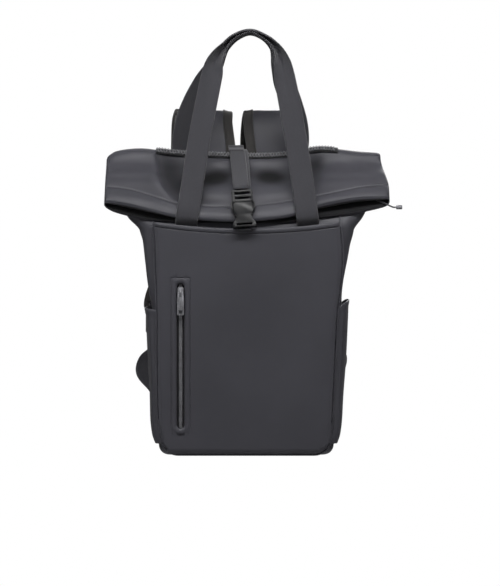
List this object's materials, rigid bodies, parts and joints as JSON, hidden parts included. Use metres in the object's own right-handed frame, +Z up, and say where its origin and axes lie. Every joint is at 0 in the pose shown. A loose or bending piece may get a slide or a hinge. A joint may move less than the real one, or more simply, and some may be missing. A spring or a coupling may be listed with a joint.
{
  "type": "roll-top backpack",
  "caption": "Soft box-shaped roll-top backpack of dark coated cloth, hanging by its carry handles, with a buckled flap and padded shoulder straps.",
  "frame": {"origin": "where the bag hangs: under the tops of both carry handles, midway between them", "axes": "+Z up, +Y towards the wearer's back side, the front pocket faces -Y, +X to the right seen from the front"},
  "size_m": [0.4255, 0.2397, 0.614],
  "materials": {
    "coated_cloth": "smooth matte coated cloth, charcoal",
    "webbing": "fine flat weave",
    "padding": "padded cloth with bound edges",
    "plastic": "moulded, satin",
    "zip_tape": "woven tape with moulded teeth",
    "gunmetal": "satin dark metal"
  },
  "bodies": {
    "bag": {"bag_body": "coated_cloth", "roll_top": "coated_cloth", "front_pocket": "coated_cloth", "side_pocket_left": "coated_cloth", "side_pocket_right": "coated_cloth", "top_zip": "zip_tape", "pocket_zip": "zip_tape", "pocket_zip_slider": "gunmetal", "mouth_pull_tip": "gunmetal", "mouth_pull_loop": "webbing", "front_handle": "webbing", "rear_handle": "webbing", "closing_strap": "webbing", "buckle_anchor": "webbing", "strap_webbing_left": "webbing", "strap_webbing_right": "webbing", "back_panel": "padding", "shoulder_strap_left": "padding", "shoulder_strap_right": "padding", "strap_adjuster_left": "plastic", "strap_adjuster_right": "plastic", "buckle_socket": "plastic", "buckle_latch": "plastic"},
    "pull_tab": {"pocket_pull_tab": "gunmetal"}
  },
  "joints": [
    {"name": "pull_tab_swing", "type": "hinge", "parent": "bag", "child": "pull_tab", "pos_m": [-0.09885, -0.08614, -0.371], "axis": [-1, 0, 0], "range_deg": [0, 165]}
  ]
}
